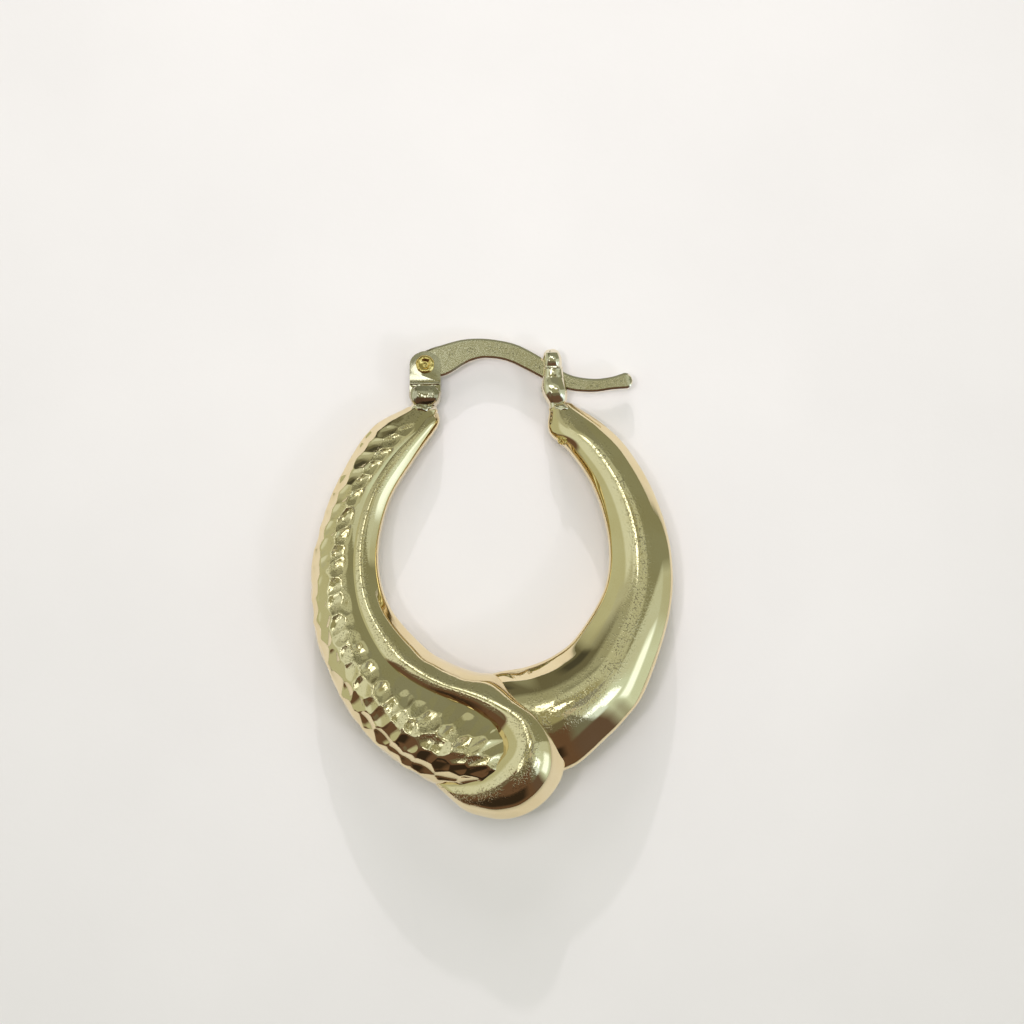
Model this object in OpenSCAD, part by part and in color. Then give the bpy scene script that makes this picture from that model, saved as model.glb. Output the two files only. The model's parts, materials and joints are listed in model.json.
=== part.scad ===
// Hinged hoop earring: a hammered branch and a smooth branch that lock together
// at the front, with a flat ear arm between a riveted hinge and a forked catch.
// The earring lies on its back. The tables are drawn flat, in millimetres from
// the middle of the hoop, x to the right and y towards the clasp.

/* [Hoop] */
// Width across the closed hoop
hoop_w = 24.4; // [22:0.1:27]
// Front to back thickness, as a share of the drawn one
fullness = 1; // [0.9:0.01:1.1]

/* [Hammering] */
// Depth of one hammer mark
mark_depth = 0.13; // [0:0.01:0.16]
// Length of one hammer mark along the branch
mark_pitch = 1.14; // [1:0.02:1.4]
// Width of one row of hammer marks
mark_row = 0.98; // [0.8:0.02:1.2]

/* [Clasp] */
// Thickness of the flat ear arm
arm_t = 0.7; // [0.6:0.02:0.74]
// Gap between the two ears of the hinge and of the catch
slot_w = 0.9; // [0.86:0.02:1]
// Thickness of each ear of the hinge and of the catch
ear_t = 0.45; // [0.35:0.01:0.5]
// Radius of the rivet's shank
rivet_r = 0.38; // [0.3:0.01:0.45]
// Radial clearance of the arm on the rivet
rivet_gap = 0.03; // [0.02:0.01:0.06]
// Radius of the rivet's heads
head_r = 0.62; // [0.55:0.01:0.7]
// Height of the rivet's heads
head_t = 0.16; // [0.1:0.01:0.2]

/* [Hidden] */

// Width of the hoop in the tables
DRAWN_W = 24.4;
k = hoop_w / DRAWN_W;

// Columns of the section tables: the section runs from an inner rim point to an
// outer rim point and bulges by half_depth to the front and to the back
IN_X = 0;
IN_Y = 1;
OUT_X = 2;
OUT_Y = 3;
HALF_DEPTH = 4;

// Smooth branch, from the catch end down to where it dives under the hook
SMOOTH = [
  [3.74, 9.66, 5.44, 10.10, 0.80],
  [3.75, 8.20, 7.48, 8.74, 1.26],
  [5.17, 6.80, 9.25, 6.87, 1.50],
  [6.77, 4.29, 10.95, 3.81, 1.70],
  [7.72, 0.88, 12.00, 0.00, 1.84],
  [7.48, -2.38, 11.87, -4.15, 2.11],
  [5.65, -5.58, 10.27, -9.15, 2.55],
  [4.08, -6.94, 8.84, -11.26, 2.76],
  [2.24, -7.72, 7.21, -12.89, 2.86],
  [0.41, -8.06, 5.65, -14.25, 2.79],
  [-1.09, -8.50, 4.01, -15.00, 2.52]
];

// Hammered branch, from the hinge end down to its round tip inside the hook
HAMMERED = [
  [-3.81, 9.60, -6.12, 9.86, 0.80],
  [-4.29, 8.03, -8.30, 8.57, 1.29],
  [-6.46, 5.99, -10.07, 5.92, 1.60],
  [-8.30, 3.33, -11.50, 2.65, 1.77],
  [-9.05, -0.34, -12.38, -1.29, 1.90],
  [-8.57, -4.15, -11.97, -5.92, 2.14],
  [-6.60, -7.41, -10.20, -10.03, 2.52],
  [-5.03, -8.57, -8.91, -11.90, 2.72],
  [-3.27, -9.52, -7.35, -13.50, 2.89],
  [-1.43, -10.34, -5.58, -14.73, 2.98],
  [0.00, -11.20, -3.80, -15.65, 2.95],
  [1.10, -12.50, -1.60, -16.00, 2.70]
];

// Smooth band along the inner rim of the hammered branch, and the hook that it
// turns into round the tip
HOOK = [
  [-4.76, 9.46, -3.78, 9.49, 0.54],
  [-5.44, 8.84, -3.83, 8.64, 0.99],
  [-7.48, 6.87, -5.37, 6.39, 1.39],
  [-9.18, 4.01, -7.11, 3.40, 1.60],
  [-10.07, 0.48, -7.82, -0.27, 1.77],
  [-10.00, -3.33, -7.07, -3.61, 1.94],
  [-8.71, -6.80, -4.69, -6.39, 2.24],
  [-7.35, -8.37, -2.99, -7.41, 2.41],
  [-5.71, -9.59, -1.22, -8.03, 2.59],
  [-3.88, -10.61, 0.48, -8.30, 2.79],
  [-2.31, -11.36, 2.04, -9.59, 2.99],
  [-1.09, -12.11, 3.47, -10.71, 3.16],
  [-0.34, -12.86, 4.42, -12.04, 3.27],
  [-0.30, -13.40, 4.80, -13.47, 3.27],
  [-0.70, -13.85, 4.59, -15.10, 3.13],
  [-1.20, -14.25, 3.67, -16.53, 2.86],
  [-1.80, -14.55, 2.31, -17.55, 2.45],
  [-2.50, -14.80, 0.75, -17.96, 1.97],
  [-3.20, -14.95, -0.75, -17.79, 1.55],
  [-3.80, -15.05, -2.11, -17.28, 1.15],
  [-4.30, -15.10, -3.62, -15.98, 0.50]
];

// Length of the rounding at the ends of each section table
CLASP_END = 0.45;
TIP_END = 1.2;
POINT_END = 0.1;

// Spacing of the rings along each branch, three to a hammer mark
HAMMERED_STEP = mark_pitch / 3;
SMOOTH_STEP = 0.8;
HOOK_STEP = 0.65;
// Sides of each ring
HAMMERED_SIDES = 36;
SMOOTH_SIDES = 26;
HOOK_SIDES = 24;
// Rings in the rounding at an end, and how far round the last one lies
END_RINGS = 4;
END_TURN = 86;
// Short way along a table, in rows, over which its heading is taken
HEADING_STEP = 0.1;
// Places at which the length of a branch is summed, for each table row
SUM_STEPS = 8;

// Shares by which the marks' places and depths vary
MARK_DRIFT = [0.1, 0.08];
MARK_UNEVEN = 0.3;
// How fast the bowl of a mark rises from its middle
MARK_BOWL = 3.8;

// Hinge: the middle of the rivet, and the barrel and neck below the ears
HINGE = [-4.69, 12.79] * k;
hinge_ear_r = 1.05;
hinge_slot_floor = 11.4 * k;
HINGE_BARREL_X = -4.8 * k;
// Columns: radius, height
HINGE_BARREL = [
  [0, 9.2],
  [0.78, 9.2],
  [0.76, 10.2],
  [0.86, 10.55],
  [1.02, 10.9],
  [1.08, 11.25],
  [1.04, 11.6],
  [0, 11.6]
];

// Catch: two upright prongs with a round knob each, on a ball, and the neck below
CATCH_X = 4.05 * k;
catch_top = 13.3 * k;
catch_r = 0.68;
knob_r = 0.64;
catch_ball_y = 11.26 * k;
catch_ball_r = 0.98;
catch_slot_floor = 11 * k;
CATCH_NECK_X = 4.28 * k;
catch_neck_r = 0.68;
catch_neck_low = 9.3 * k;

// A slot is cut this far past the ears of the hinge and the prongs of the catch
SLOT_REACH = [4, 4];
// A bore is cut this far past the faces that it goes through
BORE_PAST = 1;
// Touching pieces run this far into each other
SINK = 0.1;

// Ear arm. Columns: x, y, half of its width
ARM = [
  [-4.69, 12.79, 1.02],
  [-3.44, 13.20, 1.01],
  [-2.14, 13.76, 0.82],
  [-0.95, 13.98, 0.68],
  [0.27, 13.90, 0.63],
  [1.39, 13.61, 0.63],
  [2.69, 12.95, 0.61],
  [3.98, 12.18, 0.53],
  [5.24, 11.61, 0.50],
  [6.73, 11.44, 0.45],
  [7.99, 11.58, 0.43],
  [8.95, 11.76, 0.54]
];
ARM_STEPS = 5;

// Outline of a rivet head. Columns: share of its radius, share of its height
RIVET_HEAD = [
  [0, 0],
  [1, 0],
  [1, 0.35],
  [0.9, 0.8],
  [0.74, 1],
  [0.6, 0.9],
  [0.48, 0.5],
  [0, 0.4]
];
DOME_STEPS = 6;

// Sides of the round pieces
ROUND = 48;

// The earring lies on the back of the hook and on the catch's back knob, and the
// rivet's back head is as low
ear_face = slot_w / 2 + ear_t;
clasp_low = ear_face + head_t;
hook_low = 3.28 * fullness;
HOOK_REST_Y = -12.55 * k;
rest_tilt = asin((hook_low - clasp_low) / (catch_top - HOOK_REST_Y));
rest_z = hook_low * cos(rest_tilt) + HOOK_REST_Y * sin(rest_tilt);

// Ends of the closed earring, which put the origin under its middle
REACH_X = [-12.33, 12.07] * k;
REACH_Y = [-17.92, 14.69] * k;
rest_x = -(REACH_X[0] + REACH_X[1]) / 2;
rest_y = -(REACH_Y[0] + REACH_Y[1]) / 2 * cos(rest_tilt);

GOLD = [0.80, 0.72, 0.47];
PALE_GOLD = [0.84, 0.79, 0.60];
RICH_GOLD = [0.83, 0.68, 0.34];

// A smooth curve through the rows of a table, read at t rows from its start
function row_at(rows, t) =
  let (
    last = len(rows) - 1,
    i = min(last - 1, floor(t)),
    u = t - i,
    a = rows[max(i - 1, 0)],
    b = rows[i],
    c = rows[i + 1],
    d = rows[min(i + 2, last)]
  )
  0.5 * (2 * b + (c - a) * u + (2 * a - 5 * b + 4 * c - d) * u * u
    + (3 * b - a - 3 * c + d) * u * u * u);

function middle(row) = [row[IN_X] + row[OUT_X], row[IN_Y] + row[OUT_Y]] / 2;
function half_width(row) = norm([row[OUT_X] - row[IN_X], row[OUT_Y] - row[IN_Y]]) / 2;
function outward(row) = [row[OUT_X] - row[IN_X], row[OUT_Y] - row[IN_Y]] / (2 * half_width(row));

// Pairs of length along the branch and place in its table
function length_table(rows) =
  let (spots = [for (i = [0 : SUM_STEPS * (len(rows) - 1)]) middle(row_at(rows, i / SUM_STEPS))])
  [for (
    i = 0, run = 0;
    i < len(spots);
    run = run + norm(spots[min(i + 1, len(spots) - 1)] - spots[i]), i = i + 1
  ) [run, i / SUM_STEPS]];

// A repeatable number from -1 to 1 for hammer mark number i of row j
function scatter(i, j, seed) = sin(137 * i + 222 * j + 97 * i * j + 360 * seed);

// How far a hammer mark lowers the surface, run along the branch and girth round it
function mark_at(run, girth) =
  let (
    j = round(girth / mark_row),
    shift = (j % 2 == 0) ? 0 : 0.5,
    i = round(run / mark_pitch - shift),
    du = run / mark_pitch - i - shift - MARK_DRIFT[0] * scatter(i, j, 0.2),
    dv = girth / mark_row - j - MARK_DRIFT[1] * scatter(i, j, 0.7),
    bowl = 1 - MARK_BOWL * (du * du + dv * dv)
  )
  mark_depth * (1 + MARK_UNEVEN * scatter(i, j, 0.4)) * max(0, bowl);

// One ring of points across a branch. grow shrinks it and push moves it along,
// and hand is -1 where the outer rim lies to the left of the way along.
function ring(row, sides, hand, grow, push, run, hammered) =
  let (
    out = outward(row),
    w = half_width(row) * grow,
    d = row[HALF_DEPTH] * grow * fullness,
    mid = middle(row) + push
  )
  [for (n = [0 : sides - 1])
    let (
      a = 360 * n / sides,
      turn = a > 180 ? a - 360 : a,
      girth = turn * PI / 180 * (w + d) / 2,
      cut = hammered ? mark_at(run, girth) * min(1, w) : 0,
      slope = [cos(a) / w, sin(a) / d],
      lean = slope / norm(slope),
      across = w * cos(a) - cut * lean[0],
      up = d * sin(a) - cut * lean[1]
    )
    [mid.x + out.x * across, mid.y + out.y * across, hand * up]];

// Direction of a branch at the start or the end of its table
function heading(rows, t0, t1) =
  let (way = middle(row_at(rows, t1)) - middle(row_at(rows, t0)))
  way / norm(way);

// All rings of a branch, with a rounded end of the given length at each end
function branch_rings(rows, sides, step, start_len, end_len, hammered) =
  let (
    lengths = length_table(rows),
    total = lengths[len(lengths) - 1][0],
    count = floor(total / step),
    last = len(rows) - 1,
    back = heading(rows, HEADING_STEP, 0),
    on = heading(rows, last - HEADING_STEP, last),
    hand = -sign(cross(outward(rows[0]), back))
  )
  concat(
    [for (e = [END_RINGS : -1 : 1])
      let (a = END_TURN * e / END_RINGS)
      ring(rows[0], sides, hand, cos(a), back * start_len * sin(a), 0, false)],
    [for (i = [0 : count])
      let (run = i < count ? i * step : total)
      ring(row_at(rows, lookup(run, lengths)), sides, hand, 1, [0, 0], run, hammered)],
    [for (e = [1 : END_RINGS])
      let (a = END_TURN * e / END_RINGS)
      ring(rows[last], sides, hand, cos(a), on * end_len * sin(a), total + end_len * sin(a), hammered)]
  );

// A closed solid through a list of rings
module skin(rings) {
  sides = len(rings[0]);
  count = len(rings);
  points = [for (r = rings) for (p = r) p];
  walls = [for (i = [0 : count - 2]) for (n = [0 : sides - 1])
    let (
      a = i * sides + n,
      b = i * sides + (n + 1) % sides,
      c = b + sides,
      d = a + sides
    )
    each [[a, b, c], [a, c, d]]];
  start = [[for (n = [sides - 1 : -1 : 0]) n]];
  end = [[for (n = [0 : sides - 1]) (count - 1) * sides + n]];
  polyhedron(points, concat(walls, start, end));
}

module smooth_branch() {
  skin(branch_rings(SMOOTH, SMOOTH_SIDES, SMOOTH_STEP, CLASP_END, POINT_END, false));
}

module hammered_branch() {
  skin(branch_rings(HAMMERED, HAMMERED_SIDES, HAMMERED_STEP, CLASP_END, TIP_END, true));
}

module hook() {
  skin(branch_rings(HOOK, HOOK_SIDES, HOOK_STEP, POINT_END, POINT_END, false));
}

// The branches as one shell, brought to the stated width
module locked_branches() {
  resize([hoop_w, 0, 0], auto = [false, true, false])
    union() {
      smooth_branch();
      hammered_branch();
      hook();
    }
}

// The gap that the arm lies in, from floor_y up past the ends of the ears
module slot(x, floor_y) {
  translate([x - SLOT_REACH.x / 2, floor_y, -slot_w / 2])
    cube([SLOT_REACH.x, SLOT_REACH.y, slot_w]);
}

// Two ears on a turned barrel, soldered to the end of the hammered branch
module hinge_bracket() {
  difference() {
    union() {
      translate([HINGE.x, HINGE.y, -ear_face])
        cylinder(h = 2 * ear_face, r = hinge_ear_r, $fn = ROUND);
      translate([HINGE.x - hinge_ear_r, hinge_slot_floor - SINK, -ear_face])
        cube([2 * hinge_ear_r, HINGE.y - hinge_slot_floor + SINK, 2 * ear_face]);
      translate([HINGE_BARREL_X, 0, 0])
        rotate([-90, 0, 0])
          rotate_extrude($fn = ROUND)
            polygon(HINGE_BARREL);
    }
    slot(HINGE.x, hinge_slot_floor);
    translate([HINGE.x, HINGE.y, -ear_face - BORE_PAST])
      cylinder(h = 2 * (ear_face + BORE_PAST), r = rivet_r, $fn = ROUND);
  }
}

// A shallow round dome that stands on z = 0
module dome(r, h) {
  round_r = (r * r + h * h) / (2 * h);
  half_angle = asin(r / round_r);
  rotate_extrude($fn = ROUND)
    polygon(concat(
      [[0, -SINK], [r, -SINK]],
      [for (i = [0 : DOME_STEPS])
        let (a = half_angle * (1 - i / DOME_STEPS))
        [round_r * sin(a), round_r * cos(a) - round_r + h]]
    ));
}

// Two prongs on a ball, soldered to the end of the smooth branch
module catch() {
  difference() {
    union() {
      translate([CATCH_X, catch_top, -ear_face])
        cylinder(h = 2 * ear_face, r = catch_r, $fn = ROUND);
      translate([CATCH_X - catch_r, catch_ball_y, -ear_face])
        cube([2 * catch_r, catch_top - catch_ball_y, 2 * ear_face]);
      for (side = [0, 1])
        translate([CATCH_X, catch_top, 0])
          rotate([180 * side, 0, 0])
            translate([0, 0, ear_face])
              dome(knob_r, head_t);
      translate([CATCH_X, catch_ball_y, 0])
        sphere(r = catch_ball_r, $fn = ROUND);
      translate([CATCH_NECK_X, catch_neck_low, 0])
        rotate([-90, 0, 0])
          cylinder(h = catch_ball_y - catch_neck_low, r = catch_neck_r, $fn = ROUND);
    }
    slot(CATCH_X, catch_slot_floor);
  }
}

// Outline of the ear arm: one edge out, round the tail, and the other edge back
function arm_edge(side) =
  [for (i = [0 : ARM_STEPS * (len(ARM) - 1)])
    let (
      t = i / ARM_STEPS,
      here = row_at(ARM, t),
      ahead = row_at(ARM, min(t + HEADING_STEP, len(ARM) - 1)),
      behind = row_at(ARM, max(t - HEADING_STEP, 0)),
      way = [ahead.x - behind.x, ahead.y - behind.y],
      across = [-way.y, way.x] / norm(way)
    )
    [here.x, here.y] * k + across * here.z * side];

function reversed(list) = [for (i = [len(list) - 1 : -1 : 0]) list[i]];

module arm_outline() {
  tail = ARM[len(ARM) - 1];
  polygon(concat(arm_edge(-1), reversed(arm_edge(1))));
  translate(HINGE)
    circle(r = ARM[0].z, $fn = ROUND);
  translate([tail.x, tail.y] * k)
    circle(r = tail.z, $fn = ROUND);
}

// Puts a piece drawn flat into the place where the earring rests
module at_rest() {
  translate([rest_x, rest_y, rest_z])
    rotate([-rest_tilt, 0, 0])
      children();
}

module hoop() {
  color(GOLD)
    at_rest()
      union() {
        locked_branches();
        hinge_bracket();
        catch();
      }
}

module ear_arm() {
  color(PALE_GOLD)
    at_rest()
      translate([0, 0, -arm_t / 2])
        difference() {
          linear_extrude(arm_t)
            arm_outline();
          translate([HINGE.x, HINGE.y, -BORE_PAST])
            cylinder(h = arm_t + 2 * BORE_PAST, r = rivet_r + rivet_gap, $fn = ROUND);
        }
}

module hinge_rivet() {
  color(RICH_GOLD)
    at_rest()
      translate([HINGE.x, HINGE.y, 0]) {
        translate([0, 0, -ear_face])
          cylinder(h = 2 * ear_face, r = rivet_r, $fn = ROUND);
        for (side = [0, 1])
          rotate([180 * side, 0, 0])
            translate([0, 0, ear_face])
              rotate_extrude($fn = ROUND)
                polygon([for (row = RIVET_HEAD) [row.x * head_r, row.y * head_t]]);
      }
}

hoop();
ear_arm();
hinge_rivet();
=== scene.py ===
import json
import math

import bmesh
import bpy
import numpy as np
from mathutils import Matrix, Vector, noise


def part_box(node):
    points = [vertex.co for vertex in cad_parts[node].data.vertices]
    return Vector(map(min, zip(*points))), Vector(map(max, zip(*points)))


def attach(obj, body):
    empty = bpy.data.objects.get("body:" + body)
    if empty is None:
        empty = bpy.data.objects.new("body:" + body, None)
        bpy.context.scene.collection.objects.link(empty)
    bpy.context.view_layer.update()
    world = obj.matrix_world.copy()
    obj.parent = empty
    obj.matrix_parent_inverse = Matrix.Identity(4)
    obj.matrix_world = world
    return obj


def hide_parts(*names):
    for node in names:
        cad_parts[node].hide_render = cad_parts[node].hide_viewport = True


bl_info = {
    "name": "Interlocking hoop earring",
    "version": (1, 0, 0),
    "blender": (4, 5, 0),
    "location": "View3D > Sidebar > Earring",
    "description": "Dresses a hinged hoop earring's frame in hammered and polished gold",
    "category": "Object",
}

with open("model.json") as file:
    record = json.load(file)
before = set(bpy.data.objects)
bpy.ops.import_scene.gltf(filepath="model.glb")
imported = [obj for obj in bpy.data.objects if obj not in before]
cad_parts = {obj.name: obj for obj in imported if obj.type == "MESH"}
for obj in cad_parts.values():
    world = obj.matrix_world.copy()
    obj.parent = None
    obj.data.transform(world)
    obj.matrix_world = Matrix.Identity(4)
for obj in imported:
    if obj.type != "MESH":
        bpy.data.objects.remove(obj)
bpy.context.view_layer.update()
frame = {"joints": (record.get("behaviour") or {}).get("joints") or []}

# The tables are drawn flat, in millimetres from the middle of the hoop, with x to
# the right, y towards the clasp and z to the front
MM = 0.001
DRAWN_WIDTH = 24.4
HOOP_LOW, HOOP_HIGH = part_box("hoop")
K = (HOOP_HIGH.x - HOOP_LOW.x) / (DRAWN_WIDTH * MM)

# The arm's joint puts the flat drawing into its place at rest
JOINT = frame["joints"][0]
RIVET_AT = Vector(JOINT["pos_m"])
RIVET_AXIS = Vector(JOINT["axis"]).normalized()
HINGE = Vector((-4.69, 12.79, 0)) * K
REST_TILT = math.atan2(RIVET_AXIS.y, RIVET_AXIS.z)
REST = (
    Matrix.Translation(RIVET_AT)
    @ Matrix.Rotation(-REST_TILT, 4, "X")
    @ Matrix.Scale(MM, 4)
    @ Matrix.Translation(-HINGE)
)

# Section tables. Columns: inner rim x and y, outer rim x and y, half of the depth,
# how much farther than the drawn rim the inner half goes, under its neighbour, the
# steepest slope of the outer half above its rim, in degrees, and how far the crest
# stands from the middle towards the outer rim, as a share of half the width
SMOOTH = (
    (3.74, 9.66, 5.44, 10.10, 0.80, 1, 44, 0),
    (3.75, 8.20, 7.48, 8.74, 1.26, 1, 40, 0),
    (5.17, 6.80, 9.25, 6.87, 1.50, 1, 38, 0),
    (6.77, 4.29, 10.95, 3.81, 1.70, 1, 38, 0),
    (7.72, 0.88, 12.00, 0.00, 1.84, 1, 38, 0),
    (7.48, -2.38, 11.87, -4.15, 2.11, 1, 40, 0),
    (5.65, -5.58, 10.27, -9.15, 2.55, 1, 42, 0),
    (4.08, -6.94, 8.84, -11.26, 2.76, 1, 42, 0),
    (2.24, -7.72, 7.21, -12.89, 2.86, 1, 42, 0),
    (0.41, -8.06, 5.65, -14.25, 2.79, 1, 42, 0),
    (-1.09, -8.50, 4.01, -15.00, 2.52, 1, 42, 0),
)
HAMMERED = (
    (-3.81, 9.60, -6.12, 9.86, 0.80, 1, 50, 0),
    (-4.29, 8.03, -8.30, 8.57, 1.29, 1.05, 46, 0),
    (-6.46, 5.99, -10.07, 5.92, 1.60, 1.2, 42, 0),
    (-8.30, 3.33, -11.50, 2.65, 1.77, 1.4, 42, 0),
    (-9.05, -0.34, -12.38, -1.29, 1.90, 1.5, 42, 0),
    (-8.57, -4.15, -11.97, -5.92, 2.14, 1.5, 42, 0),
    (-6.60, -7.41, -10.20, -10.03, 2.52, 1.4, 44, 0),
    (-5.03, -8.57, -8.91, -11.90, 2.72, 1.4, 46, 0),
    (-3.27, -9.52, -7.35, -13.50, 2.89, 1.45, 46, 0),
    (-1.43, -10.34, -5.58, -14.73, 2.98, 1.5, 46, 0),
    (0.00, -11.20, -3.80, -15.65, 2.95, 1.5, 50, 0),
    (1.10, -12.50, -1.60, -16.00, 2.70, 1.5, 56, 0),
)
HOOK = (
    (-4.76, 9.46, -3.78, 9.49, 0.54, 1, 50, 0),
    (-5.44, 8.84, -3.83, 8.64, 0.99, 1, 44, 0),
    (-7.48, 6.87, -5.37, 6.39, 1.39, 1, 42, 0),
    (-9.18, 4.01, -7.11, 3.40, 1.60, 1, 42, 0),
    (-10.07, 0.48, -7.82, -0.27, 1.77, 1, 42, 0),
    (-10.00, -3.33, -7.07, -3.61, 1.94, 1, 42, 0),
    (-8.71, -6.80, -4.69, -6.39, 2.24, 1.05, 48, 0),
    (-7.35, -8.37, -2.99, -7.41, 2.41, 1, 70, 0),
    (-5.71, -9.59, -1.22, -8.03, 2.59, 0.95, 80, 0),
    (-3.88, -10.61, 0.48, -8.30, 2.79, 0.85, 70, 0.03),
    (-2.31, -11.36, 2.04, -9.59, 2.99, 0.8, 48, 0.24),
    (-1.09, -12.11, 3.47, -10.71, 3.16, 0.85, 44, 0.3),
    (-0.34, -12.86, 4.42, -12.04, 3.27, 0.9, 46, 0.15),
    (-0.30, -13.40, 4.80, -13.47, 3.27, 0.95, 50, 0.03),
    (-0.70, -13.85, 4.59, -15.10, 3.13, 1, 50, 0),
    (-1.20, -14.25, 3.67, -16.53, 2.86, 1, 50, 0),
    (-1.80, -14.55, 2.31, -17.55, 2.45, 1, 50, 0),
    (-2.50, -14.80, 0.75, -17.96, 1.97, 1, 50, 0),
    (-3.20, -14.95, -0.75, -17.79, 1.55, 1, 50, 0),
    (-3.80, -15.05, -2.11, -17.28, 1.15, 1, 50, 0),
    (-4.30, -15.10, -3.62, -15.98, 0.50, 1, 50, 0),
)
# Columns that are lengths, and so follow the frame's size
LENGTHS = 5
# Steepest slope of the inner half, in degrees: the smooth branch's, and the others',
# which lies under a neighbour
SMOOTH_INNER = 42
HIDDEN = 89
# How far a flank bends round into its upright rim
RIM_SOFT = 0.12
# Length of the rounded ends: at the clasp, at the hammered tip and at the points
CLASP_END = 0.45
TIP_END = 1.6
POINT_END = 0.1
# Places per row at which a table's length is measured, and rings over which the
# direction of an end is taken
FINE = 24
END_SPAN = 3
# How narrow the worn crests are: the power of the sine round the section
CREST = 24

# Hammer marks: how much two of them differ, in their place along and across as a
# share of a mark, and in their depth
STRAY_ALONG = 0.22
STRAY_ACROSS = 0.16
STRAY_DEPTH = 0.35
# Hollow across the branch, as a share of the hollow along it
BOWL_ACROSS = 0.6
# Smallest half width that the marks are fitted to
LEAST_HALF = 0.3
# Where they fade: over these shares of the branch they come to reach further round,
# over these angles in radians past their reach, over this length from their start,
# and where the branch's half width is less than this
TIP_SHARES = (0.5, 0.9)
REACH_FADE = (0.3, -0.15)
START_FADE = 1.5
FULL_HALF = 1.1
# Large unrelated factors, which scatter the marks and give the same ones each time
SCATTER = (127.1, 311.7, 74.7, 43758.5453)

# Ear arm. Columns: x, y, half of its width
ARM = (
    (-3.95, 13.03, 1.02),
    (-3.44, 13.20, 1.01),
    (-2.14, 13.76, 0.82),
    (-0.95, 13.98, 0.68),
    (0.27, 13.90, 0.63),
    (1.39, 13.61, 0.63),
    (2.69, 12.95, 0.61),
    (3.98, 12.18, 0.53),
    (5.24, 11.61, 0.50),
    (6.73, 11.44, 0.45),
    (7.99, 11.58, 0.43),
    (8.95, 11.76, 0.54),
)
ARM_HALF_T = 0.35
ARM_TAIL_END = 0.5
EYE_R = 1.02
BORE_R = 0.41

# Clasp: half of the slot that the arm runs in, the outer face of the ears, and the
# height of the ears' round tops as a share of a half circle
SLOT_HALF = 0.45
EAR_FACE = 0.9
TOP_FLAT = 0.84

# Points nearer than this, in millimetres, are welded
WELD = 2e-4
# Edges of a block that turn by more than this, in radians, are made soft
SHARP = 0.7
# Faces of creased pieces larger than this, in square millimetres, are truly flat
FLAT_AREA = 0.08


def row_at(rows, t):
    """A smooth curve through the rows of a table, read at t rows from its start."""
    last = len(rows) - 1
    i = min(last - 1, int(t))
    u = t - i
    a, b, c, d = (np.array(rows[n]) for n in (max(i - 1, 0), i, i + 1, min(i + 2, last)))
    return 0.5 * (
        2 * b
        + (c - a) * u
        + (2 * a - 5 * b + 4 * c - d) * u**2
        + (3 * b - a - 3 * c + d) * u**3
    )


def middles(sections):
    return (sections[:, 0:2] + sections[:, 2:4]) / 2


def even_places(rows, count, centre):
    """Places that lie evenly along a table's middle line, and how far along each lies."""
    fine = np.linspace(0, len(rows) - 1, FINE * len(rows))
    spots = centre(np.array([row_at(rows, t) for t in fine]))
    steps = np.linalg.norm(np.diff(spots, axis=0), axis=1)
    run = np.concatenate([[0], np.cumsum(steps)])
    even = np.linspace(0, run[-1], count)
    return np.interp(even, run, fine), even


def branch_sections(rows, count, start_len, end_len, dome=10):
    """What each ring of a branch needs, with a dome of rings at either end.

    That is its middle, outward direction, half width, half depth, stretch of the
    inner half, steepest slope and distance along the branch.
    """
    places, run = even_places(rows, count - 2 * dome, middles)
    sections = np.array([row_at(rows, t) for t in places])
    mid = middles(sections)
    across = sections[:, 2:4] - sections[:, 0:2]
    width = np.linalg.norm(across, axis=1)
    out = across / width[:, None]
    half_w = width / 2
    half_d, inner, steep, shift = sections[:, 4:8].T
    mid = mid + out * (half_w * shift)[:, None]
    inner = (inner + shift) / (1 - shift)
    half_w = half_w * (1 - shift)
    angles = np.linspace(math.pi / 2, 0, dome, endpoint=False)

    def rounded(end, before, length, order):
        way = mid[end] - mid[before]
        way = way / np.linalg.norm(way)
        a = angles[::order]
        return (
            mid[end] + way * length * np.sin(a)[:, None],
            np.repeat(out[end][None, :], dome, axis=0),
            half_w[end] * np.cos(a),
            half_d[end] * np.cos(a),
            np.repeat(inner[end], dome),
            np.repeat(steep[end], dome),
            run[end] + (1 if end else -1) * length * np.sin(a),
        )

    first = rounded(0, END_SPAN, start_len, 1)
    final = rounded(-1, -1 - END_SPAN, end_len, -1)
    between = (mid, out, half_w, half_d, inner, steep, run)
    return tuple(np.concatenate(pieces) for pieces in zip(first, between, final))


def chance(i, j, seed):
    """A repeatable number from -1 to 1 for hammer mark number i of row j."""
    along, across, other, spread = SCATTER
    value = np.sin(i * along + j * across + seed * other) * spread
    return 2 * (value - np.floor(value)) - 1


def hammer_cut(run, girth, radius, marks):
    """How deep the hammer went: each blow leaves a shallow bowl, and bowls meet in ridges.

    The rows are staggered: every other one is shifted by half a mark.
    """
    cut = np.zeros_like(run)
    row = np.round(girth / marks.row_width)
    for dj in (-1, 0, 1):
        j = row + dj
        shift = 0.5 * (j % 2)
        near = np.round(run / marks.length - shift)
        for di in (-1, 0, 1):
            i = near + di
            du = run - (i + shift + STRAY_ALONG * chance(i, j, 1)) * marks.length
            dv = girth - (j + STRAY_ACROSS * chance(i, j, 2)) * marks.row_width
            blow = marks.depth * (1 + STRAY_DEPTH * chance(i, j, 3))
            lean = marks.lean * (chance(i, j, 4) * du + chance(i, j, 5) * dv)
            round_off = BOWL_ACROSS * marks.bowl + 0.5 / radius
            cut = np.maximum(cut, blow + lean - marks.bowl * du**2 - round_off * dv**2)
    return cut


def ease(value, low, high):
    """0 below low, 1 above high and smooth between them; low may be the larger one."""
    t = np.clip((value - low) / (high - low), 0, 1)
    return t * t * (3 - 2 * t)


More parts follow.
